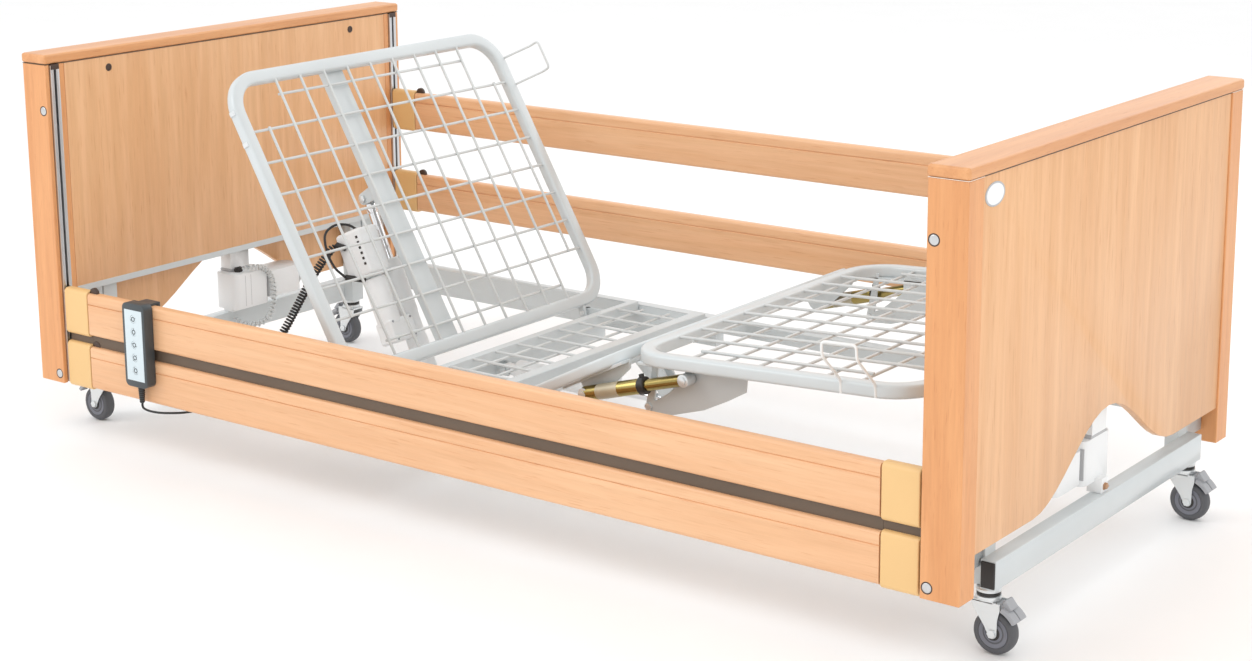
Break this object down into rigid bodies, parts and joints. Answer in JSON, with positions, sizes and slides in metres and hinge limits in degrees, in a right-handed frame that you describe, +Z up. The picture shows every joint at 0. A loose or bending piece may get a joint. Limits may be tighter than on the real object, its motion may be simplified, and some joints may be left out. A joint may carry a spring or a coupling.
{
  "type": "adjustable hospital bed",
  "caption": "Height-adjustable profiling bed with beech boards, sliding wooden side rails, wire-mesh sections, electric actuators, a wired handset and braked castors.",
  "frame": {"origin": "Floor level under the middle of the bed's box.", "axes": "+X to the foot end, +Y to the far side, +Z up."},
  "size_m": [2.27, 1.0798, 0.822],
  "materials": {
    "beech_edge": "satin-lacquered beech edging and posts",
    "beech_panel": "satin beech veneer with vertical grain",
    "rail_beech": "satin-lacquered beech rails with horizontal grain",
    "grey_paint": "light grey powder-coated steel",
    "aluminium": "satin anodised aluminium profile",
    "chrome": "polished chrome-plated steel",
    "zinc_plate": "bright zinc-plated pressed steel",
    "gold_zinc": "yellow-passivated zinc-plated steel",
    "white_plastic": "off-white moulded plastic",
    "grey_plastic": "grey moulded plastic",
    "slate_plastic": "slate grey moulded plastic",
    "ice_plastic": "pale membrane keypad",
    "black_plastic": "black moulded plastic",
    "black_cable": "black cable sheath",
    "tyre_rubber": "dark grey castor tyre"
  },
  "bodies": {
    "bed": {"head_board_surround": "beech_edge", "head_board_outer_panel": "beech_panel", "head_board_inner_panel": "beech_panel", "head_near_rail_track": "aluminium", "head_far_rail_track": "aluminium", "foot_board_surround": "beech_edge", "foot_board_outer_panel": "beech_panel", "foot_board_inner_panel": "beech_panel", "foot_near_rail_track": "aluminium", "foot_far_rail_track": "aluminium", "head_lift_rod": "aluminium", "foot_lift_rod": "aluminium", "chassis_frame": "grey_paint", "seat_panel": "grey_paint", "handset_cord": "black_cable"},
    "head_trolley": {"head_lift_frame": "aluminium", "head_lift_actuator": "white_plastic", "head_lift_cable": "white_plastic"},
    "head_near_castor": {"head_near_castor_fork": "zinc_plate"},
    "head_near_wheel": {"head_near_castor_wheel": "tyre_rubber"},
    "head_near_pedal": {"head_near_castor_pedal": "grey_plastic"},
    "head_far_castor": {"head_far_castor_fork": "zinc_plate"},
    "head_far_wheel": {"head_far_castor_wheel": "tyre_rubber"},
    "head_far_pedal": {"head_far_castor_pedal": "grey_plastic"},
    "foot_trolley": {"foot_lift_frame": "aluminium", "foot_lift_actuator": "white_plastic"},
    "foot_near_castor": {"foot_near_castor_fork": "zinc_plate"},
    "foot_near_wheel": {"foot_near_castor_wheel": "tyre_rubber"},
    "foot_near_pedal": {"foot_near_castor_pedal": "grey_plastic"},
    "foot_far_castor": {"foot_far_castor_fork": "zinc_plate"},
    "foot_far_wheel": {"foot_far_castor_wheel": "tyre_rubber"},
    "foot_far_pedal": {"foot_far_castor_pedal": "grey_plastic"},
    "backrest": {"backrest_panel": "grey_paint"},
    "backrest_drive": {"backrest_actuator": "white_plastic", "control_box": "white_plastic", "curly_cord": "black_cable"},
    "backrest_rod": {"backrest_actuator_rod": "chrome"},
    "thigh": {"thigh_panel": "grey_paint"},
    "calf": {"calf_panel": "grey_paint"},
    "near_ratchet": {"near_ratchet_tube": "gold_zinc"},
    "near_ratchet_slider": {"near_ratchet_rod": "gold_zinc"},
    "far_ratchet": {"far_ratchet_tube": "gold_zinc"},
    "far_ratchet_slider": {"far_ratchet_rod": "gold_zinc"},
    "leg_drive": {"leg_actuator": "white_plastic"},
    "leg_rod": {"leg_actuator_rod": "chrome"},
    "near_lower_guard": {"near_lower_rail": "rail_beech"},
    "near_lower_latch": {"near_lower_rail_latch": "black_plastic"},
    "near_upper_guard": {"near_upper_rail": "rail_beech", "handset": "slate_plastic"},
    "near_upper_latch": {"near_upper_rail_latch": "black_plastic"},
    "far_lower_guard": {"far_lower_rail": "rail_beech"},
    "far_lower_latch": {"far_lower_rail_latch": "black_plastic"},
    "far_upper_guard": {"far_upper_rail": "rail_beech"},
    "far_upper_latch": {"far_upper_rail_latch": "black_plastic"},
    "button_height": {"handset_button_height": "ice_plastic"},
    "button_back": {"handset_button_back": "ice_plastic"},
    "button_legs": {"handset_button_legs": "ice_plastic"},
    "button_profile": {"handset_button_profile": "ice_plastic"},
    "button_lock": {"handset_button_lock": "ice_plastic"}
  },
  "joints": [
    {"name": "head_lift", "type": "slide", "parent": "bed", "child": "head_trolley", "axis": [0, 0, -1], "range_m": [0, 0.4]},
    {"name": "foot_lift", "type": "slide", "parent": "bed", "child": "foot_trolley", "axis": [0, 0, -1], "range_m": [0, 0.4]},
    {"name": "head_near_swivel", "type": "hinge", "parent": "head_trolley", "child": "head_near_castor", "pos_m": [-1.075, -0.3805, 0.1], "axis": [0, 0, 1], "continuous": true},
    {"name": "head_near_roll", "type": "hinge", "parent": "head_near_castor", "child": "head_near_wheel", "pos_m": [-1.09, -0.3805, 0.0375], "axis": [0, 1, 0], "continuous": true},
    {"name": "head_near_brake", "type": "hinge", "parent": "head_near_castor", "child": "head_near_pedal", "pos_m": [-1.098, -0.3805, 0.086], "axis": [0, -1, 0], "range_deg": [0, 6]},
    {"name": "head_far_swivel", "type": "hinge", "parent": "head_trolley", "child": "head_far_castor", "pos_m": [-1.075, 0.3955, 0.1], "axis": [0, 0, 1], "continuous": true},
    {"name": "head_far_roll", "type": "hinge", "parent": "head_far_castor", "child": "head_far_wheel", "pos_m": [-1.09, 0.3955, 0.0375], "axis": [0, 1, 0], "continuous": true},
    {"name": "head_far_brake", "type": "hinge", "parent": "head_far_castor", "child": "head_far_pedal", "pos_m": [-1.098, 0.3955, 0.086], "axis": [0, -1, 0], "range_deg": [0, 6]},
    {"name": "foot_near_swivel", "type": "hinge", "parent": "foot_trolley", "child": "foot_near_castor", "pos_m": [1.075, -0.3805, 0.1], "axis": [0, 0, 1], "continuous": true},
    {"name": "foot_near_roll", "type": "hinge", "parent": "foot_near_castor", "child": "foot_near_wheel", "pos_m": [1.09, -0.3805, 0.0375], "axis": [0, 1, 0], "continuous": true},
    {"name": "foot_near_brake", "type": "hinge", "parent": "foot_near_castor", "child": "foot_near_pedal", "pos_m": [1.098, -0.3805, 0.086], "axis": [0, 1, 0], "range_deg": [0, 6]},
    {"name": "foot_far_swivel", "type": "hinge", "parent": "foot_trolley", "child": "foot_far_castor", "pos_m": [1.075, 0.3955, 0.1], "axis": [0, 0, 1], "continuous": true},
    {"name": "foot_far_roll", "type": "hinge", "parent": "foot_far_castor", "child": "foot_far_wheel", "pos_m": [1.09, 0.3955, 0.0375], "axis": [0, 1, 0], "continuous": true},
    {"name": "foot_far_brake", "type": "hinge", "parent": "foot_far_castor", "child": "foot_far_pedal", "pos_m": [1.098, 0.3955, 0.086], "axis": [0, 1, 0], "range_deg": [0, 6]},
    {"name": "backrest_hinge", "type": "hinge", "parent": "bed", "child": "backrest", "pos_m": [-0.3026, 0.0075, 0.2066], "axis": [0, 1, 0], "range_deg": [-59.8, 4.8]},
    {"name": "backrest_drive_pivot", "type": "hinge", "parent": "bed", "child": "backrest_drive", "pos_m": [-0.392, -0.0775, 0.13], "axis": [0, 1, 0], "range_deg": [-68, 6]},
    {"name": "backrest_rod_slide", "type": "slide", "parent": "backrest_drive", "child": "backrest_rod", "axis": [-0.4057, 0, 0.914], "range_m": [-0.12, 0.012]},
    {"name": "thigh_hinge", "type": "hinge", "parent": "bed", "child": "thigh", "pos_m": [0.013, 0.0075, 0.21], "axis": [0, -1, 0], "range_deg": [-27, 8]},
    {"name": "knee_hinge", "type": "hinge", "parent": "thigh", "child": "calf", "pos_m": [0.35619, 0.0075, 0.37666], "axis": [0, -1, 0], "range_deg": [-9, 26]},
    {"name": "near_ratchet_pivot", "type": "hinge", "parent": "thigh", "child": "near_ratchet", "pos_m": [0.266, -0.3925, 0.296], "axis": [0, -1, 0], "range_deg": [-4.5, 13.5]},
    {"name": "near_ratchet_slide", "type": "slide", "parent": "near_ratchet", "child": "near_ratchet_slider", "axis": [0.9614, 0, 0.2753], "range_m": [-0.009, 0.022]},
    {"name": "far_ratchet_pivot", "type": "hinge", "parent": "thigh", "child": "far_ratchet", "pos_m": [0.266, 0.4075, 0.296], "axis": [0, -1, 0], "range_deg": [-4.5, 13.5]},
    {"name": "far_ratchet_slide", "type": "slide", "parent": "far_ratchet", "child": "far_ratchet_slider", "axis": [0.9614, 0, 0.2753], "range_m": [-0.009, 0.022]},
    {"name": "leg_drive_pivot", "type": "hinge", "parent": "bed", "child": "leg_drive", "pos_m": [-0.325, 0.0925, 0.13], "axis": [0, -1, 0], "range_deg": [-6, 3]},
    {"name": "leg_rod_slide", "type": "slide", "parent": "leg_drive", "child": "leg_rod", "axis": [1, 0, 0.009], "range_m": [-0.045, 0.015]},
    {"name": "near_upper_guard_slide", "type": "slide", "parent": "bed", "child": "near_upper_guard", "axis": [0, 0, 1], "range_m": [0, 0.285]},
    {"name": "near_lower_guard_slide", "type": "slide", "parent": "bed", "child": "near_lower_guard", "axis": [0, 0, 1], "range_m": [0, 0.2]},
    {"name": "far_upper_guard_slide", "type": "slide", "parent": "bed", "child": "far_upper_guard", "axis": [0, 0, 1], "range_m": [-0.285, 0]},
    {"name": "far_lower_guard_slide", "type": "slide", "parent": "bed", "child": "far_lower_guard", "axis": [0, 0, 1], "range_m": [-0.2, 0]},
    {"name": "near_lower_latch_press", "type": "slide", "parent": "near_lower_guard", "child": "near_lower_latch", "axis": [0, 0, -1], "range_m": [0, 0.004], "stiffness_N_per_m": 300, "springref_m": -0.003},
    {"name": "near_upper_latch_press", "type": "slide", "parent": "near_upper_guard", "child": "near_upper_latch", "axis": [0, 0, -1], "range_m": [0, 0.004], "stiffness_N_per_m": 300, "springref_m": -0.003},
    {"name": "far_lower_latch_press", "type": "slide", "parent": "far_lower_guard", "child": "far_lower_latch", "axis": [0, 0, -1], "range_m": [0, 0.004], "stiffness_N_per_m": 300, "springref_m": -0.003},
    {"name": "far_upper_latch_press", "type": "slide", "parent": "far_upper_guard", "child": "far_upper_latch", "axis": [0, 0, -1], "range_m": [0, 0.004], "stiffness_N_per_m": 300, "springref_m": -0.003},
    {"name": "button_height_press", "type": "slide", "parent": "near_upper_guard", "child": "button_height", "axis": [0, 1, 0], "range_m": [0, 0.0006], "stiffness_N_per_m": 400, "springref_m": -0.002},
    {"name": "button_back_press", "type": "slide", "parent": "near_upper_guard", "child": "button_back", "axis": [0, 1, 0], "range_m": [0, 0.0006], "stiffness_N_per_m": 400, "springref_m": -0.002},
    {"name": "button_legs_press", "type": "slide", "parent": "near_upper_guard", "child": "button_legs", "axis": [0, 1, 0], "range_m": [0, 0.0006], "stiffness_N_per_m": 400, "springref_m": -0.002},
    {"name": "button_profile_press", "type": "slide", "parent": "near_upper_guard", "child": "button_profile", "axis": [0, 1, 0], "range_m": [0, 0.0006], "stiffness_N_per_m": 400, "springref_m": -0.002},
    {"name": "button_lock_press", "type": "slide", "parent": "near_upper_guard", "child": "button_lock", "axis": [0, 1, 0], "range_m": [0, 0.0006], "stiffness_N_per_m": 400, "springref_m": -0.002}
  ],
  "couplings": [
    {"joint": "foot_lift", "follows": "head_lift", "ratio": 1},
    {"joint": "backrest_drive_pivot", "follows": "backrest_hinge", "ratio": 1.0871},
    {"joint": "backrest_rod_slide", "follows": "backrest_hinge", "m_per_rad": 0.10829},
    {"joint": "knee_hinge", "follows": "thigh_hinge", "ratio": -0.89259},
    {"joint": "near_ratchet_pivot", "follows": "thigh_hinge", "ratio": -0.46616},
    {"joint": "near_ratchet_slide", "follows": "thigh_hinge", "m_per_rad": -0.036031},
    {"joint": "far_ratchet_pivot", "follows": "thigh_hinge", "ratio": -0.46616},
    {"joint": "far_ratchet_slide", "follows": "thigh_hinge", "m_per_rad": -0.036031},
    {"joint": "leg_drive_pivot", "follows": "thigh_hinge", "ratio": 0.20778},
    {"joint": "leg_rod_slide", "follows": "thigh_hinge", "m_per_rad": 0.094203},
    {"joint": "near_lower_guard_slide", "follows": "near_upper_guard_slide", "ratio": 0.70175},
    {"joint": "far_lower_guard_slide", "follows": "far_upper_guard_slide", "ratio": 0.70175}
  ]
}
